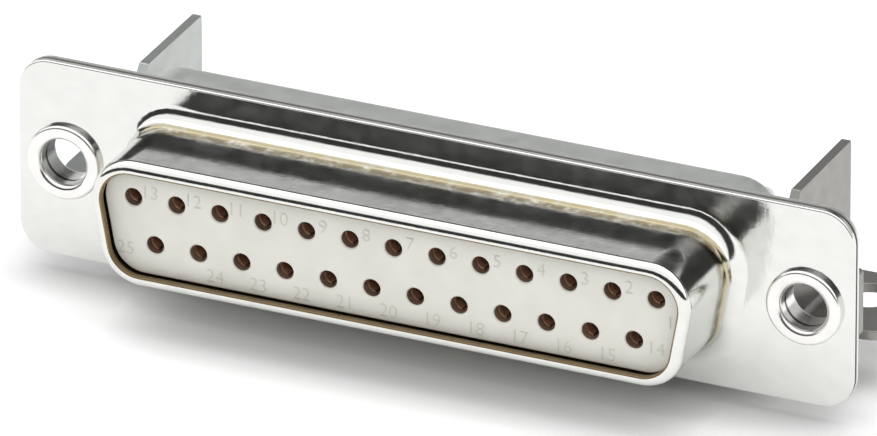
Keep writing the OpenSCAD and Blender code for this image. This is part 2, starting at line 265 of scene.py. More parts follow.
class DSUB_PG_stage(PropertyGroup):
    """The camera, the floor and the light."""
    turn: FloatProperty(name="Turn", description="Angle of the camera round the part", subtype="ANGLE",
                        default=math.radians(24.403))
    height: FloatProperty(name="Height", description="Angle of the camera above the part", subtype="ANGLE",
                          default=math.radians(25.834))
    roll: FloatProperty(name="Roll", description="Turn of the camera about its line of sight", subtype="ANGLE",
                        default=math.radians(-0.093))
    aim: FloatVectorProperty(name="Aim", description="Point that the camera looks at", subtype="TRANSLATION",
                             default=(0.000182, 0.00049, 0.000766))
    distance: length("Distance", "Distance of the camera from that point", 1000)
    view_w: length("View width", "Width that the camera sees there", 50.8)
    floor: colour("Floor", "Colour of the floor", (0.88, 0.88, 0.88))
    lift: FloatProperty(name="Lift", description="Light that the camera and polished metal see on the floor",
                        default=0.12, min=0)
    strength: FloatProperty(name="Strength", description="Strength of the light overhead", default=2, min=0)
    # Reach of the painted shadow on the floor.
    shelter: length("Shelter", "How far from the part its shade on the floor deepens", 4)
    fill: FloatProperty(name="Fill", description="Power of the lamp by the camera, in watts", default=0.37, min=0)
    front: share("Front", "Share of that strength above the front", 0.62)
    back: share("Back", "Share of it low behind the part", 0.32)
    dark: share("Dark", "Share of it between these bands", 0.02)


# ---------------------------------------------------------------- outlines and sections

def arc(centre, r, start, end, steps, hollow=False):
    """Rows of (x, y, normal x, normal y) along an arc, in degrees. A hollow arc faces its centre."""
    angle = np.radians(np.linspace(start, end, steps + 1))
    ray = np.stack([np.cos(angle), np.sin(angle)], 1)
    return np.hstack([np.asarray(centre) + r * ray, -ray if hollow else ray])


def oval(centre, radii, start, end, hollow=False):
    """Rows along an arc of an ellipse."""
    rows = arc((0, 0), 1, start, end, 12, hollow)
    return np.hstack([centre + rows[:, :2] * radii, rows[:, 2:] * radii[::-1]])


def circle(centre, r, steps=40):
    """Rows round a hole, which face its centre."""
    return arc(centre, r, 0, 360, steps, hollow=True)[:-1]


def rectangle(x, y):
    """The corners of a rectangle from its half sizes, anticlockwise."""
    return [(x, y), (-x, y), (-x, -y), (x, -y)]


def rounded(points, radii, steps=5):
    """Rows round a polygon drawn anticlockwise, with its corners rounded and its normals facing out."""
    points = np.asarray(points, float)
    radii = np.broadcast_to(radii, len(points))
    rows = []
    for k, corner in enumerate(points):
        before = corner - points[k - 1]
        after = points[(k + 1) % len(points)] - corner
        before /= np.linalg.norm(before)
        after /= np.linalg.norm(after)
        cross = before[0] * after[1] - before[1] * after[0]
        turn = math.atan2(cross, before @ after)
        bulge = 1 if turn > 0 else -1
        first = math.atan2(-before[0], before[1])
        normal = np.array([math.cos(first), math.sin(first)])
        start = corner - before * radii[k] * math.tan(abs(turn) / 2)
        centre = start - bulge * radii[k] * normal
        for angle in np.linspace(first, first + turn, steps + 1):
            ray = np.array([math.cos(angle), math.sin(angle)])
            rows.append([*(centre + bulge * radii[k] * ray), *ray])
    return np.array(rows)


def rim(top, bottom, edge, steps=4):
    """A sheet's edge as rows of (inset, height, outward share, upward share), rounded at both faces."""
    rows = []
    for start, height, side in ((90, top, 1), (0, bottom, -1)):
        for a in np.radians(np.linspace(start, start - 90, steps + 1)):
            out, up = math.cos(a), math.sin(a)
            rows.append([edge * (1 - out), height - side * edge * (1 - side * up), out, up])
    return np.array(rows)


def d_outline(width, height, r, lean):
    """A D outline whose sides lean in: its corner centres and the directions out of them."""
    x, y = width / 2 - r, height / 2 - r
    low_x = x - 2 * y * math.tan(lean)
    lean = math.degrees(lean)
    corners = [((x, y), 90, -lean), ((low_x, -y), -lean, -90),
               ((-low_x, -y), -90, lean - 180), ((-x, y), lean - 180, -270)]
    rows = np.vstack([arc(c, 0, start, end, 10) for c, start, end in corners])
    return rows[:, :2], rows[:, 2:]


def offset(outline, r):
    """Rows of an outline at a distance from its corner centres."""
    centres, out = outline
    return np.hstack([centres + r * out, out])


def split_rows(rows, axis, values):
    """Adds a row wherever a loop crosses one of these values, so that a sheet has points on its folds."""
    result = []
    for here, there in zip(rows, np.roll(rows, -1, axis=0)):
        result.append(here)
        span = there[axis] - here[axis]
        if abs(span) < 1e-9:
            continue
        shares = sorted((v - here[axis]) / span for v in values)
        for s in shares:
            if 1e-4 < s < 1 - 1e-4:
                result.append(here + s * (there - here))
    return np.array(result)


def fill(loops, cuts=()):
    """Triangles between the first loop and the holes in it, with edges along the cuts."""
    points, edges = [], []
    for loop in loops:
        base = len(points)
        points += [Vector(p[:2]) for p in loop]
        edges += [(base + k, base + (k + 1) % len(loop)) for k in range(len(loop))]
    for a, b in cuts:
        edges.append((len(points), len(points) + 1))
        points += [Vector(a), Vector(b)]
    found, _, faces, *_ = delaunay_2d_cdt(points, edges, [], 0, 1e-8)
    found = np.array(found)
    faces = np.array([f for f in faces if len(f) == 3])
    centre = found[faces].mean(axis=1)
    inside = np.zeros(len(faces), bool)
    for loop in loops:
        for a, b in zip(loop, np.roll(loop, -1, axis=0)):
            crosses = (a[1] > centre[:, 1]) != (b[1] > centre[:, 1])
            if crosses.any():
                at = a[0] + (centre[:, 1] - a[1]) / (b[1] - a[1] if b[1] != a[1] else 1) * (b[0] - a[0])
                inside ^= crosses & (centre[:, 0] < at)
    return found, faces[inside]


# ---------------------------------------------------------------- shapes

FACE_ON = np.array([[1, 0, 0], [0, 0, -1], [0, 1, 0]])
UPRIGHT = np.eye(3)


class Shape:
    """Points with outward normals, and the faces between them."""

    def __init__(self, turn=FACE_ON, shift=(0, 0, 0), bend=None):
        self.turn = np.asarray(turn, float)
        self.shift = np.asarray(shift, float)
        self.bend = bend
        self.points = []
        self.normals = []
        self.faces = []
        self.tints = []
        self.tint = 0
        self.count = 0

    def add(self, points, normals, faces):
        """Adds faces, each turned the way that its normals point."""
        points = np.asarray(points, float).reshape(-1, 3)
        normals = np.asarray(normals, float).reshape(-1, 3)
        if self.bend:
            points, normals = self.bend(points, normals)
        points = points @ self.turn.T + self.shift
        normals = normals @ self.turn.T
        faces = np.array(faces)
        corners = points[faces]
        facing = np.cross(corners[:, 2] - corners[:, 0], corners[:, -1] - corners[:, 1])
        wrong = (facing * normals[faces].mean(axis=1)).sum(axis=1) < 0
        faces[wrong] = faces[wrong][:, ::-1]
        kept = faces[np.linalg.norm(facing, axis=1) > 1e-15]
        self.points.append(points)
        self.normals.append(normals)
        self.faces += (kept + self.count).tolist()
        self.tints += [self.tint] * len(kept)
        self.count += len(points)

    def grid(self, points, normals):
        """Adds a net of rows by columns, whose last column joins the first."""
        rows, columns = points.shape[:2]
        across = np.arange(columns)
        beside = (across + 1) % columns
        base = np.arange(rows - 1)[:, None] * columns
        faces = np.stack([base + across, base + beside, base + columns + beside, base + columns + across], -1)
        self.add(points, normals, faces.reshape(-1, 4))

    def face(self, loops, height, way, cuts=()):
        """Adds a flat face between loops; way is 1 for upwards and -1 for downwards."""
        points, faces = fill(loops, cuts)
        flat = np.hstack([points, np.full((len(points), 1), height)])
        self.add(flat, np.tile([0, 0, way], (len(points), 1)), faces)

    def wall(self, rows, profile):
        """Adds the wall that a profile of (inset, height, outward, upward) makes along a loop."""
        rows = rows[None]
        profile = profile[:, None]
        xy = rows[..., :2] - rows[..., 2:] * profile[..., :1]
        z = np.broadcast_to(profile[..., 1:2], xy.shape[:2] + (1,))
        nz = np.broadcast_to(profile[..., 3:4], z.shape)
        self.grid(np.concatenate([xy, z], -1), np.concatenate([rows[..., 2:] * profile[..., 2:3], nz], -1))

    def sheet(self, loops, cuts=(), back=True):
        """Adds a flat piece from pairs of (rows, profile); a pair whose profile has two rows is left open."""
        for rows, profile in loops:
            if len(profile) > 2:
                self.wall(rows, profile)
        for end, way in ((0, 1), (-1, -1)) if back else ((0, 1),):
            edges = [rows[:, :2] - rows[:, 2:] * profile[end][0] for rows, profile in loops]
            self.face(edges, loops[0][1][end][1], way, cuts)

    def sweep(self, section, outline):
        """Carries a section of (x, z, normal x, normal z) rows round an outline."""
        centres, out = outline
        x, z, nx, nz = (section[:, k][:, None, None] for k in range(4))
        size = (len(z), len(out), 1)
        points = np.concatenate([centres[None] + x * out[None], np.broadcast_to(z, size)], -1)
        normals = np.concatenate([nx * out[None], np.broadcast_to(nz, size)], -1)
        self.grid(points, normals)

    def revolve(self, section, centre, steps, start=0, end=360):
        """Turns a closed section of (radius, z, normal r, normal z) rows about an axis, and caps a part turn."""
        angle = np.radians(np.linspace(start, end, steps + 1))
        ray = np.stack([np.cos(angle), np.sin(angle)], 1)
        r, z, nr, nz = (section[:, k][None, :, None] for k in range(4))
        points = np.concatenate([np.asarray(centre) + ray[:, None] * r, np.repeat(z, len(ray), 0)], -1)
        normals = np.concatenate([ray[:, None] * nr, np.repeat(nz, len(ray), 0)], -1)
        self.grid(points, normals)
        if end - start < 360:
            flat, faces = fill([section[:, :2]])
            for direction, side in ((ray[0], -1), (ray[-1], 1)):
                cap = np.hstack([np.asarray(centre) + flat[:, :1] * direction, flat[:, 1:]])
                out = side * np.array([-direction[1], direction[0], 0])
                self.add(cap, np.tile(out, (len(cap), 1)), faces)

    def make(self, name, materials, slot, *nodes):
        """Makes the piece, lets it ride on the part and stand for these solids."""
        used = np.unique(np.concatenate([np.ravel(face) for face in self.faces])).astype(int)
        points = np.vstack(self.points)
        new = np.zeros(len(points), int)
        new[used] = np.arange(len(used))
        mesh = bpy.data.meshes.new(name)
        mesh.from_pydata(points[used].tolist(), [], [new[list(face)].tolist() for face in self.faces])
        mesh.shade_smooth()
        normals = np.vstack(self.normals)[used]
        normals /= np.maximum(np.linalg.norm(normals, axis=1), 1e-12)[:, None]
        mesh.normals_split_custom_set_from_vertices(normals.tolist())
        for material in materials:
            mesh.materials.append(material)
        mesh.polygons.foreach_set("material_index", self.tints)
        piece = bpy.data.objects.new(name, mesh)
        bpy.context.scene.collection.objects.link(piece)
        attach(piece, "root")
        if nodes:
            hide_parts(*nodes)
        return piece


# ---------------------------------------------------------------- materials

class Tree:
    """Adds nodes to a tree and joins them."""

    def __init__(self, tree):
        self.tree = tree
        tree.nodes.clear()

    def join(self, node, sockets):
        """Gives each of a node's sockets a value or another node's output."""
        for key, value in sockets.items():
            if isinstance(value, bpy.types.NodeSocket):
                self.tree.links.new(value, node.inputs[key])
            else:
                node.inputs[key].default_value = value

    def add(self, kind, sockets=None, **settings):
        """Adds a node with its settings, and fills its sockets."""
        node = self.tree.nodes.new(kind)
        for key, value in settings.items():
            setattr(node, key, value)
        self.join(node, sockets or {})
        return node

    def maths(self, kind, a, b):
        """Works out one value from two."""
        return self.add("ShaderNodeMath", {0: a, 1: b}, operation=kind).outputs["Value"]

    def ramp(self, value, *stops):
        """The colour that (place, colour) stops give to a value."""
        ramp = self.add("ShaderNodeValToRGB", {"Fac": value})
        while len(ramp.color_ramp.elements) < len(stops):
            ramp.color_ramp.elements.new(0.5)
        for element, (place, tint) in zip(ramp.color_ramp.elements, stops):
            element.position = place
            element.color = (*tint, 1)
        return ramp.outputs["Color"]

    def mix(self, share, tints, other, how="MIX"):
        """Mixes a second tint into a colour by a share."""
        sockets = {"Factor": share, "A": tints, "B": (*other, 1)}
        return self.add("ShaderNodeMix", sockets, data_type="RGBA", blend_type=how).outputs["Result"]

    def seen_directly(self):
        """1 where the camera, a reflection or glass looks at a surface, 0 where light bounces off it."""
        path = self.add("ShaderNodeLightPath").outputs
        glossy = self.maths("MAXIMUM", path["Is Camera Ray"], path["Is Glossy Ray"])
        return self.maths("MAXIMUM", glossy, path["Is Transmission Ray"])


class Nodes(Tree):
    """The nodes of a material."""

    def __init__(self, name):
        self.material = bpy.data.materials.new(name)
        self.material.use_nodes = True
        super().__init__(self.material.node_tree)
        self.shader = self.add("ShaderNodeBsdfPrincipled")
        self.add("ShaderNodeOutputMaterial", {"Surface": self.shader.outputs["BSDF"]})
        self.place = self.add("ShaderNodeTexCoord").outputs["Object"]

    def noise(self, scale, detail=3, stretch=(1, 1, 1), roughness=0.5, distortion=0):
        """Noise in the part's own space; scale is in patches per metre."""
        mapping = self.add("ShaderNodeMapping", {"Vector": self.place, "Scale": stretch})
        return self.add("ShaderNodeTexNoise", {
            "Vector": mapping.outputs["Vector"], "Scale": scale, "Detail": detail, "Roughness": roughness,
            "Distortion": distortion}).outputs["Fac"]

    def step(self, value, low, high):
        """0 at low, 1 at high."""
        sockets = {"Value": value, "From Min": low, "From Max": high}
        return self.add("ShaderNodeMapRange", sockets, interpolation_type="SMOOTHSTEP").outputs["Result"]

    def along_y(self):
        """The place along the part's Y axis."""
        return self.add("ShaderNodeSeparateXYZ", {"Vector": self.place}).outputs["Y"]

    def band(self, start, full, fading, end):
        """1 between two places along the part's Y axis, and 0 beyond the outer two."""
        y = self.along_y()
        fade = self.maths("SUBTRACT", 1, self.step(y, fading, end))
        return self.maths("MULTIPLY", fade, self.step(y, start, full))

    def gloss(self, noise, low, high):
        """Spreads a noise between two values of roughness."""
        sockets = {"Value": noise, "From Min": 0.3, "From Max": 0.7, "To Min": low, "To Max": high}
        self.join(self.shader, {"Roughness": self.add("ShaderNodeMapRange", sockets).outputs["Result"]})

    def bump(self, *layers):
        """Bumps from (noise, height in metres) pairs, one over the other."""
        below = {}
        for noise, height in layers:
            bump = self.add("ShaderNodeBump", {"Height": noise, "Strength": 1, "Distance": height, **below})
            below = {"Normal": bump.outputs["Normal"]}
        self.join(self.shader, below)


def plated(name, tint, roughness, ripple, grain, stain=None):
    """Plated sheet: slight patches, uneven gloss, a slow ripple, drawing marks, painted shade in the seam between
    two flanges; with a stain, also that stain and a band of painted shade just in front of the skirt's root bend.
    """
    look = Nodes(name)
    patches = look.noise(700, 5, (1, 1, 1.6))
    tints = look.ramp(patches, (0.35, [0.955 * c for c in tint]), (0.65, tint))
    # Painted shade in the seam between the two flanges.
    tints = look.mix(look.band(*(SHEET + y * MM for y in PAINTED_SEAM_PLACES)), tints, PAINTED_SEAM_DARKENING)
    if stain:
        uneven = look.step(look.noise(1400), 0.1, 0.62)
        # The stain, then painted shade in a band just in front of the skirt's root bend.
        for places, darker in ((STAIN_Y, stain), (PAINTED_BAND_PLACES, PAINTED_BAND_SHADE)):
            band = look.band(*(y * MM for y in places))
            tints = look.mix(look.maths("MULTIPLY", band, uneven), tints, darker)
    look.join(look.shader, {"Metallic": 1, "Base Color": tints})
    look.gloss(look.noise(900, 5), *roughness)
    slow = look.noise(260, 2, (0.35, 1, 1), distortion=0.4)
    dents = look.noise(1500, 4, (1, 0.5, 0.5), 0.6)
    marks = look.noise(3600, 3, (0.4, 1.4, 1.4), 0.6)
    look.bump((slow, ripple * MM), (dents, 1.6 * grain * MM), (marks, 0.6 * grain * MM))
    return look.material


def moulded(name, tint, shade):
    """Moulded plastic: soft colour patches, fine grain."""
    look = Nodes(name)
    tints = look.ramp(look.noise(350, 4), (0.35, shade), (0.65, tint))
    look.join(look.shader, {"IOR": 1.5, "Base Color": tints})
    look.gloss(look.noise(1500), 0.36, 0.5)
    look.bump((look.noise(6000, 2), 0.004 * MM))
    return look.material


def contact_finish(name, brass, copper, tin):
    """Gold-brown sockets with tinned tails."""
    look = Nodes(name)
    tints = look.ramp(look.noise(1200, 4), (0.38, copper), (0.6, brass))
    tinned = look.step(look.along_y(), *(BLOCK_HIGH.y + y * MM for y in TIN_Y))
    look.join(look.shader, {"Metallic": 0.5, "Base Color": look.mix(tinned, tints, tin)})
    look.gloss(look.noise(2500), 0.22, 0.4)
    look.bump((look.noise(3000), 0.004 * MM))
    return look.material


def made(name, maker, *tints, **finish):
    """The material of this name, made the first time that it is asked for."""
    return bpy.data.materials.get(name) or maker(name, *tints, **finish)


def plating(shell):
    return made("bright_plating", plated, tuple(shell.plating), roughness=(0.08, 0.16), ripple=0.02, grain=0.005,
                stain=tuple(shell.stain))


# Dark brown inside the shells: partly tarnish, partly painted shade in the gap round the insulators.
def tarnish(shell):
    return made("brown_inside", plated, tuple(shell.inside), roughness=(0.25, 0.4), ripple=0.02, grain=0.004)


def moulding(scene):
    face = scene.dsub_face
    return made("white_moulding", moulded, tuple(face.white), tuple(face.shade))


# ---------------------------------------------------------------- operators

def shell_section(wall_r, depth, root, roll_r, lip, edge):
    """Outside and inside of a drawn wall's section, from the flange's front over the lip to its back."""
    root = np.array(root)
    hollow = (wall_r + root[0], root[1])
    roll = np.array([wall_r - roll_r, depth - roll_r])
    outside = np.vstack([
        oval(hollow, root, 270, 180, hollow=True),
        arc(roll, roll_r, 0, 90, steps=10),
        [(roll[0] - lip, depth, 0, 1)],
    ])
    inside = np.vstack([
        arc((roll[0] - lip, depth - edge), edge, 90, 180, steps=4),
        arc((roll[0] - lip, depth - SHEET + edge), edge, 180, 270, steps=4),
        arc(roll, roll_r - SHEET, 90, 0, steps=5, hollow=True),
        oval(hollow, root + SHEET, 180, 270),
    ])
    return outside, inside


def shell_shape(shape, sizes, width, height, depth, root, lip):
    """A flange with its two screw holes, and a wall that stands out of it."""
    outline = d_outline(width, height, sizes.corner, sizes.lean)
    root_x = sizes.corner + root[0]
    outside, inside = shell_section(sizes.corner, depth, root, sizes.roll, lip, sizes.edge)
    shape.sweep(outside, outline)
    # The inside faces take the dark brown of tarnish and painted shade.
    shape.tint = 1
    shape.sweep(inside, outline)
    shape.tint = 0
    border = rounded(rectangle(SHELL_HIGH.x, SHELL_HIGH.z), sizes.flange_r, 10)
    edge = rim(0, -SHEET, sizes.edge)
    flat = edge[[0, -1]] * [0, 1, 1, 1]
    mount = bpy.context.scene.dsub_mount
    holes = [(circle((side * SCREW_X, 0), mount.bore_d / 2 + mount.wall), edge) for side in SIDES.values()]
    shape.sheet([(border, edge), (offset(outline, root_x), flat), *holes])


class DSUB_OT_front_shell(Operator):
    """Makes the front flange and the skirt round the mating face"""
    bl_idname = "dsub.front_shell"
    bl_label = "Front shell"

    def execute(self, context):
        sizes = context.scene.dsub_shell
        shape = Shape()
        root = (sizes.skirt_root, sizes.skirt_sweep)
        shell_shape(shape, sizes, sizes.skirt_w, sizes.skirt_h, SKIRT_DEPTH, root, lip=0)
        shape.make("skirt_shell", [plating(sizes), tarnish(sizes)], "front_shell", "front_shell")
        return {"FINISHED"}


class DSUB_OT_rear_shell(Operator):
    """Makes the rear flange and the cup behind it"""
    bl_idname = "dsub.rear_shell"
    bl_label = "Rear shell"

    def execute(self, context):
        sizes = context.scene.dsub_shell
        mirrored = FACE_ON @ np.diag([1, 1, -1])
        shape = Shape(mirrored, (0, FLANGE_BACK, 0))
        shell_shape(shape, sizes, sizes.cup_w, sizes.cup_h, CUP_DEPTH, (sizes.cup_root,) * 2, sizes.cup_lip)
        satin = made("satin_plating", plated, tuple(sizes.satin), roughness=(0.3, 0.4), ripple=0.03, grain=0.005)
        shape.make("cup_shell", [satin, tarnish(sizes)], "rear_shell", "rear_shell")
        return {"FINISHED"}


def contact_place(n, face):
    """A contact's place on the mating face, as seen from the plug."""
    upper = n <= UPPER
    step = (UPPER + 1) / 2 - n if upper else 3 * UPPER / 2 - n
    return np.array([step * face.pitch, (1 if upper else -1) * face.row_gap / 2])


class DSUB_OT_front_insulator(Operator):
    """Makes the insulator in the skirt, with its entry holes"""
    bl_idname = "dsub.front_insulator"
    bl_label = "Front insulator"

    def execute(self, context):
        shell, face = context.scene.dsub_shell, context.scene.dsub_face
        inner = shell.corner - SHEET - face.gap
        shape = Shape()
        skirt = d_outline(shell.skirt_w, shell.skirt_h, shell.corner, shell.lean)
        cup = d_outline(shell.cup_w, shell.cup_h, shell.corner, shell.lean)
        steps = 6
        mouth = rim(FACE_Z, FACE_Z - face.wall, face.lead_in, steps)[:steps + 2]
        mouth[-1] = [0, FACE_Z - face.wall, 1, 0]
        holes = [(circle(contact_place(n, face), face.hole_d / 2, 32), mouth[:-1]) for n in range(1, COUNT + 1)]
        side = rim(FACE_Z, -SHEET, face.rim)
        shape.sheet([(offset(skirt, inner), side), *holes], back=False)
        back = rim(-SHEET, -face.split, face.rim)
        shape.sheet([(offset(cup, inner), back)])
        # The holes' walls take a brown of painted shade and painted reflection of the contacts.
        shape.tint = 1
        for rows, _ in holes:
            shape.wall(rows, mouth[-2:])
        deep = made("deep_moulding", moulded, tuple(face.deep), tuple(0.7 * c for c in face.deep))
        shape.make("mating_face", [moulding(context.scene), deep], "insulator", "front_insulator")
        return {"FINISHED"}


class DSUB_OT_numbers(Operator):
    """Makes the contact numbers that stand out of the mating face"""
    bl_idname = "dsub.numbers"
    bl_label = "Contact numbers"

    def execute(self, context):
        face = context.scene.dsub_face
        # Greyer tint: painted shade on the raised numbers.
        ink = made("raised_digits", moulded, tuple(face.ink), tuple(0.95 * c for c in face.ink))
        for n in range(1, COUNT + 1):
            beside = NUMBER_AT.get(n, NUMBER_UPPER if n <= UPPER else NUMBER_LOWER)
            at = Vector(contact_place(n, face)) + Vector(beside) * MM
            text = bpy.data.curves.new(f"number_{n}", "FONT")
            text.body = str(n)
            text.size = face.digit * TEXT_PER_DIGIT
            text.extrude = face.relief
            text.offset = THINNER
            text.align_x = "CENTER"
            text.align_y = "CENTER"
            text.materials.append(ink)
            number = bpy.data.objects.new(f"number_{n}", text)
            context.scene.collection.objects.link(number)
            upright = Matrix.Rotation(math.pi / 2, 4, "X")
            number.matrix_world = Matrix.Translation((at.x, -FACE_Z, at.y)) @ upright
            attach(number, "root")
        return {"FINISHED"}


class DSUB_OT_rear_insulator(Operator):
    """Makes the insulator in the cup, the block behind it and the spacer round the tails"""
    bl_idname = "dsub.rear_insulator"
    bl_label = "Rear insulator"

    def execute(self, context):
        scene = context.scene
        shell, face, pin = scene.dsub_shell, scene.dsub_face, scene.dsub_contact
        inner = shell.corner - SHEET - face.gap
        cup = d_outline(shell.cup_w, shell.cup_h, shell.corner, shell.lean)
        shape = Shape()
        collar_back = SHEET - CUP_HIGH.y
        shape.sheet([(offset(cup, inner), rim(-face.split, collar_back, face.rim))])
        side = rim(collar_back, -BLOCK_HIGH.y, BLOCK_EDGE)
        tail_r = pin.tail_d / 2 + TAIL_GAP
        holes = [(circle(contact_place(n, face), tail_r, 24), side) for n in range(1, COUNT + 1)]
        shape.sheet([(rounded(rectangle(BLOCK_X, BLOCK_Z), face.block_r), side), *holes])
        shape.make("rear_block", [moulding(context.scene)], "insulator_rear", "rear_insulator")

        plate = Shape(UPRIGHT)
        low, high = SPACER_LOW, SPACER_HIGH
        corners = [(low.x, low.y), (high.x, low.y), (high.x, high.y), (low.x, high.y)]
        edge = rim(high.z, low.z, SPACER_EDGE)
        tails = [(circle((contact_place(n, face)[0], tail_place(n)), tail_r, 24), edge)
                 for n in range(1, COUNT + 1)]
        plate.sheet([(rounded(corners, SPACER_CORNER), edge), *tails])
        plate.make("tail_plate", [moulding(context.scene)], "insulator_rear", "tail_spacer")
        return {"FINISHED"}


def tail_place(n):
    """How far behind the flange's face a contact's tail goes down."""
    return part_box(f"contact_{n}")[1].y - bpy.context.scene.dsub_contact.tail_d / 2


def tail_rows(pin, height, drop_y):
    """A tail's path in (y, z) as rows of (y, z, along y, along z, radius, outward share, forward share)."""
    r, bend, tip = pin.tail_d / 2, pin.bend_r, TAIL_ROUNDING
    rows = [[pin.stub + bpy.context.scene.dsub_face.split, height, 1, 0, r, 1, 0]]
    for a in np.radians(np.linspace(0, 90, 9)):
        along, down = math.cos(a), math.sin(a)
        rows.append([drop_y - bend + bend * down, height - bend + bend * along, along, -down, r, 1, 0])
    for a in np.radians(np.linspace(0, 90, 5)):
        out, down = math.cos(a), math.sin(a)
        rows.append([drop_y, TAIL_TIP + tip * (1 - down), 0, -1, r - tip * (1 - out), out, down])
    rows.append([drop_y, TAIL_TIP, 0, -1, 0, 0, 1])
    return np.array(rows)


def tube(shape, rows, x):
    """Carries a circle along a path that lies in a plane of one x."""
    angle = np.radians(np.linspace(0, 360, 20, endpoint=False))
    y, z, ty, tz, r, out, forward = (rows[:, k][:, None] for k in range(7))
    across, up = np.cos(angle)[None], np.sin(angle)[None]
    points = np.stack([x + r * across, y + r * up * -tz, z + r * up * ty], -1)
    normals = np.stack([out * across + 0 * y, out * up * -tz + forward * ty, out * up * ty + forward * tz], -1)
    shape.grid(points, normals)


class DSUB_OT_contacts(Operator):
    """Makes the contacts: slotted sockets with shoulders and bent tails"""
    bl_idname = "dsub.contacts"
    bl_label = "Contacts"

    def execute(self, context):
        face, pin = context.scene.dsub_face, context.scene.dsub_contact
        tints = [tuple(tint) for tint in (pin.brass, pin.copper, pin.tin)]
        finish = made("contact_plating", contact_finish, *tints)
        front = FACE_Z - face.wall
        slot_end, floor = front - pin.slot_l, front - pin.bore_depth
        back = -face.split - pin.stub
        outer, bore = pin.socket_d / 2, pin.bore_d / 2
        leaf = rounded([(bore, slot_end), (outer, slot_end), (outer, front), (bore, front)],
                       [0, 0, MOUTH_OUTER, MOUTH_INNER])
        shank = rounded([(0, back), (outer, back), (outer, slot_end), (bore, slot_end), (bore, floor),
                         (0, floor)], [0, SOCKET_BACK, 0, 0, BORE_FLOOR, 0])
        sunk, proud, ahead = outer - SHOULDER_SINK, pin.shoulder_d / 2, pin.shoulder_t - face.split
        shoulder = rounded([(sunk, -face.split), (proud, -face.split), (proud, ahead), (sunk, ahead)],
                           [0, SHOULDER_EDGE, SHOULDER_EDGE, 0])
        gap = math.degrees(math.asin(pin.slot_w / 2 / outer))
        for n in range(1, COUNT + 1):
            place = contact_place(n, face)
            shape = Shape()
            for start in (90, 270):
                shape.revolve(leaf, place, 14, start + gap, start + 180 - gap)
            for section in (shank, shoulder):
                shape.revolve(section, place, 28)
            shape.turn = UPRIGHT
            tube(shape, tail_rows(pin, place[1], tail_place(n)), place[0])
            shape.make(f"socket_contact_{n}", [finish], "contact", f"contact_{n}")
        return {"FINISHED"}


class DSUB_OT_rivets(Operator):
    """Makes the two hollow rivets"""
    bl_idname = "dsub.rivets"
    bl_label = "Rivets"

    def execute(self, context):
        sizes = context.scene.dsub_mount
        finish = made("rivet_plating", plated, tuple(sizes.rivet), roughness=(0.14, 0.26), ripple=0.02,
                      grain=0.003)
        bore, head, head_h = sizes.bore_d / 2, RIVET_HIGH.x - SCREW_X, -RIVET_LOW.y
        tube_r, flare = bore + sizes.wall, sizes.flare_d / 2
        back, flare_top = -RIVET_HIGH.y, sizes.flare_t - RIVET_HIGH.y
        section = rounded([(bore, back), (flare, back), (flare, flare_top), (tube_r, flare_top),
                           (tube_r, 0), (head, 0), (head, head_h), (bore, head_h)],
                          [FLARE_MOUTH, FLARE_EDGE, FLARE_ROOT, 0, 0, 0, sizes.head_edge, sizes.mouth], 8)
        for side, sign in SIDES.items():
            shape = Shape()
            shape.revolve(section, (sign * SCREW_X, 0), 72)
            shape.make(f"hollow_rivet_{side}", [finish], "rivet", f"rivet_{side}")
        return {"FINISHED"}


def bracket_bend(sizes):
    """How a bracket's flat pattern (back, up, outward) bends into its flank, tab and foot."""
    outer_r = sizes.bend_r + sizes.sheet
    neutral = outer_r - sizes.sheet / 2
    centre_x = BRACKET_LOW.x + outer_r
    bend_y = BRACKET_LOW.y + outer_r
    fold_z = BRACKET_LOW.z + outer_r

    def turned(past, out, normal_along, normal_out):
        """One coordinate past a fold: its place and normal along the flank and outward."""
        angle = np.clip(past / neutral, 0, math.pi / 2)
        over = np.maximum(past - neutral * math.pi / 2, 0)
        x = centre_x - (outer_r - out) * np.cos(angle) + over
        down = (outer_r - out) * np.sin(angle)
        nx = -normal_along * np.sin(angle) + normal_out * np.cos(angle)
        n_down = normal_along * np.cos(angle) + normal_out * np.sin(angle)
        return x, down, nx, n_down

    def bend(points, normals):
        back, up, out = points.T
        n_back, n_up, n_out = normals.T
        x, ahead, nx, ny = turned(bend_y - back, out, n_back, n_out)
        x2, below, nx2, nz = turned(fold_z - up, out, n_up, n_out)
        tab = back < bend_y
        foot = up < fold_z
        flat_x = BRACKET_LOW.x + out
        placed = np.stack([np.where(tab, x, np.where(foot, x2, flat_x)),
                           np.where(tab, bend_y - ahead, back), np.where(foot, fold_z - below, up)], 1)
        facing = np.stack([np.where(tab, nx, np.where(foot, nx2, n_out)),
                           np.where(tab, ny, n_back), np.where(foot, nz, n_up)], 1)
        return placed, facing

    return bend, neutral * math.pi / 2, bend_y, fold_z, centre_x


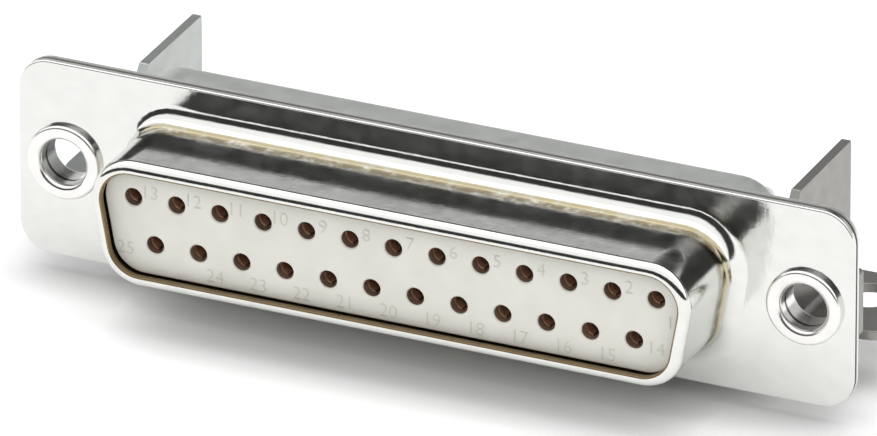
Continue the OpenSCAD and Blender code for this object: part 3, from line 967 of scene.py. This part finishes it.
class DSUB_OT_brackets(Operator):
    """Makes the two folded brackets"""
    bl_idname = "dsub.brackets"
    bl_label = "Brackets"

    def execute(self, context):
        sizes = context.scene.dsub_mount
        bend, arc_l, bend_y, fold_z, centre_x = bracket_bend(sizes)
        reach = BRACKET_HIGH.x - centre_x
        tab_end, foot_end = bend_y - arc_l - reach, fold_z - arc_l - reach
        half, top, back = sizes.tab_h / 2, BRACKET_HIGH.z, BRACKET_HIGH.y
        front, neck = sizes.flank_front, bend_y + sizes.neck_l
        pattern = [(tab_end, half), (tab_end, sizes.tab_cut - half), (tab_end + sizes.tab_cut, -half),
                   (bend_y - arc_l, -half), (bend_y - arc_l + NECK_SET, -sizes.neck_low), (neck, -sizes.neck_low),
                   (front, fold_z), (front, foot_end), (back, foot_end), (back, top), (front, top), (neck, half)]
        small = BRACKET_CORNER
        radii = [TAB_CORNER, small, small, small, small, NECK_CORNER, TAB_CORNER, sizes.foot_r, sizes.foot_r,
                 sizes.flank_r, small, small]
        edge = rim(sizes.sheet, 0, BRACKET_EDGE)
        steps = np.linspace(0, arc_l, 9)
        outer = split_rows(split_rows(rounded(pattern, radii), 0, bend_y - steps), 1, fold_z - steps)
        rivet_hole = circle((bend_y - arc_l - (SCREW_X - centre_x), 0), sizes.bore_d / 2 + sizes.wall)
        board_hole = circle((sizes.hole_y, fold_z - arc_l - (SCREW_X - centre_x)), sizes.hole_d / 2)
        cuts = [((bend_y - s, -2 * half), (bend_y - s, 2 * half)) for s in steps]
        cuts += [((front - half, fold_z - s), (back + half, fold_z - s)) for s in steps]
        for side, sign in SIDES.items():
            # Each bracket's colour is painted shade over one and the same plating.
            finish = made(f"{side}_bracket_plating", plated, tuple(getattr(sizes, side)), roughness=(0.3, 0.42),
                          ripple=0.02, grain=0.006)
            shape = Shape(np.diag([sign, 1, 1]), bend=bend)
            shape.sheet([(outer, edge), (rivet_hole, edge), (board_hole, edge)], cuts)
            shape.make(f"board_bracket_{side}", [finish], "bracket", f"bracket_{side}")
        return {"FINISHED"}


class DSUB_OT_camera(Operator):
    """Makes the camera"""
    bl_idname = "dsub.camera"
    bl_label = "Camera"

    def execute(self, context):
        stage = context.scene.dsub_stage
        data = bpy.data.cameras.new("camera")
        data.sensor_width = SENSOR_W
        data.lens = data.sensor_width * stage.distance / stage.view_w
        data.clip_end = CLIP_END
        camera = bpy.data.objects.new("camera", data)
        turned = (Matrix.Rotation(stage.turn, 4, "Z") @ Matrix.Rotation(math.pi / 2 - stage.height, 4, "X")
                  @ Matrix.Rotation(stage.roll, 4, "Z"))
        camera.matrix_world = Matrix.Translation(stage.aim) @ turned @ Matrix.Translation((0, 0, stage.distance))
        context.scene.collection.objects.link(camera)
        context.scene.camera = camera
        return {"FINISHED"}


class DSUB_OT_stage(Operator):
    """Makes the floor, the sky and the lamp"""
    bl_idname = "dsub.stage"
    bl_label = "Stage"

    def execute(self, context):
        stage = context.scene.dsub_stage
        context.scene.view_settings.view_transform = "Standard"
        mesh = bpy.data.meshes.new("floor")
        far = FLOOR_REACH
        corners = [(x, y, FLOOR_Z) for x, y in ((-far, -far), (far, -far), (far, far), (-far, far))]
        mesh.from_pydata(corners, [], [(0, 1, 2, 3)])
        floor = bpy.data.objects.new("floor", mesh)
        context.scene.collection.objects.link(floor)
        mesh.materials.append(self.paper(stage))
        self.sky(context)
        self.front_lamp(context)
        return {"FINISHED"}

    def front_lamp(self, context):
        """A soft lamp beside the camera that bright metal doesn't mirror."""
        stage = context.scene.dsub_stage
        data = bpy.data.lights.new("front_lamp", "AREA")
        data.size = LAMP_SIZE
        data.energy = stage.fill
        lamp = bpy.data.objects.new("front_lamp", data)
        lamp.visible_glossy = False
        place = Matrix.Translation((0, LAMP_RISE, -stage.distance / 2))
        lamp.matrix_world = context.scene.camera.matrix_world @ place
        context.scene.collection.objects.link(lamp)

    def paper(self, stage):
        """Paper that the camera and polished metal see as white, with its shadows kept, and a painted shadow near
        the part that darkens it where the camera sees it.
        """
        look = Nodes("paper")
        tint = tuple(stage.floor)
        tints = look.ramp(look.noise(40), (0.3, tuple(0.99 * c for c in tint)), (0.7, tint))
        # Painted shadow: ambient occlusion darkens the floor near the part, for the camera only.
        shelter = look.add("ShaderNodeAmbientOcclusion", {"Distance": stage.shelter}, samples=8)
        light = look.maths("POWER", shelter.outputs["AO"], PAINTED_SHADOW_POWER)
        camera = look.add("ShaderNodeLightPath").outputs["Is Camera Ray"]
        near = look.maths("MULTIPLY", look.maths("SUBTRACT", 1, light), camera)
        lift = look.maths("MULTIPLY", look.seen_directly(), stage.lift)
        look.join(look.shader, {
            "Base Color": look.mix(near, tints, tuple(PAINTED_SHADOW_TINT * c for c in tint)),
            "Roughness": 1, "Specular IOR Level": 0, "Emission Color": (1, 1, 1, 1),
            "Emission Strength": look.maths("MULTIPLY", lift, light)})
        return look.material

    def sky(self, context):
        """Long soft lamps beside the part: bands of light and dark by the angle about the part's length."""
        stage = context.scene.dsub_stage
        world = bpy.data.worlds.new("studio")
        context.scene.world = world
        world.use_nodes = True
        look = Tree(world.node_tree)
        way = look.add("ShaderNodeTexCoord").outputs["Generated"]
        way = look.add("ShaderNodeSeparateXYZ", {"Vector": way}).outputs
        share = look.maths("MULTIPLY", look.maths("ARCTAN2", way["Z"], way["Y"]), 1 / math.pi)
        levels = {"back": stage.back, "dark": stage.dark, "bright": 1, "front": stage.front}
        bands = look.ramp(share, *((angle / 180, [levels[level]] * 3) for angle, level in SKY_BANDS))
        light = look.mix(1, bands, [stage.strength] * 3, "MULTIPLY")
        camera = look.add("ShaderNodeLightPath").outputs["Is Camera Ray"]
        light = look.add("ShaderNodeBackground", {"Color": look.mix(camera, light, (1, 1, 1))})
        look.add("ShaderNodeOutputWorld", {"Surface": light.outputs["Background"]})


PIECES = [DSUB_OT_camera, DSUB_OT_stage, DSUB_OT_front_shell, DSUB_OT_rear_shell, DSUB_OT_front_insulator,
          DSUB_OT_numbers, DSUB_OT_rear_insulator, DSUB_OT_contacts, DSUB_OT_rivets, DSUB_OT_brackets]
GROUPS = {"dsub_shell": DSUB_PG_shell, "dsub_face": DSUB_PG_face, "dsub_contact": DSUB_PG_contact,
          "dsub_mount": DSUB_PG_mount, "dsub_stage": DSUB_PG_stage}


class DSUB_PT_panel(Panel):
    """Lists the pieces and their sizes"""
    bl_idname = "DSUB_PT_panel"
    bl_label = "D-sub socket"
    bl_space_type = "VIEW_3D"
    bl_region_type = "UI"
    bl_category = "D-sub"

    def draw(self, context):
        for piece in PIECES:
            self.layout.operator(piece.bl_idname)
        for group in GROUPS:
            box = self.layout.box()
            for value in getattr(context.scene, group).bl_rna.properties:
                if value.identifier not in ("rna_type", "name"):
                    box.prop(getattr(context.scene, group), value.identifier)


def register():
    for group in GROUPS.values():
        bpy.utils.register_class(group)
    for name, group in GROUPS.items():
        setattr(bpy.types.Scene, name, PointerProperty(type=group))
    for item in [*PIECES, DSUB_PT_panel]:
        bpy.utils.register_class(item)


def unregister():
    for item in [DSUB_PT_panel, *reversed(PIECES)]:
        bpy.utils.unregister_class(item)
    for name in GROUPS:
        delattr(bpy.types.Scene, name)
    for group in reversed(GROUPS.values()):
        bpy.utils.unregister_class(group)


def main():
    register()
    for piece in PIECES:
        getattr(bpy.ops.dsub, piece.bl_idname.split(".")[1])()


if __name__ == "__main__":
    main()
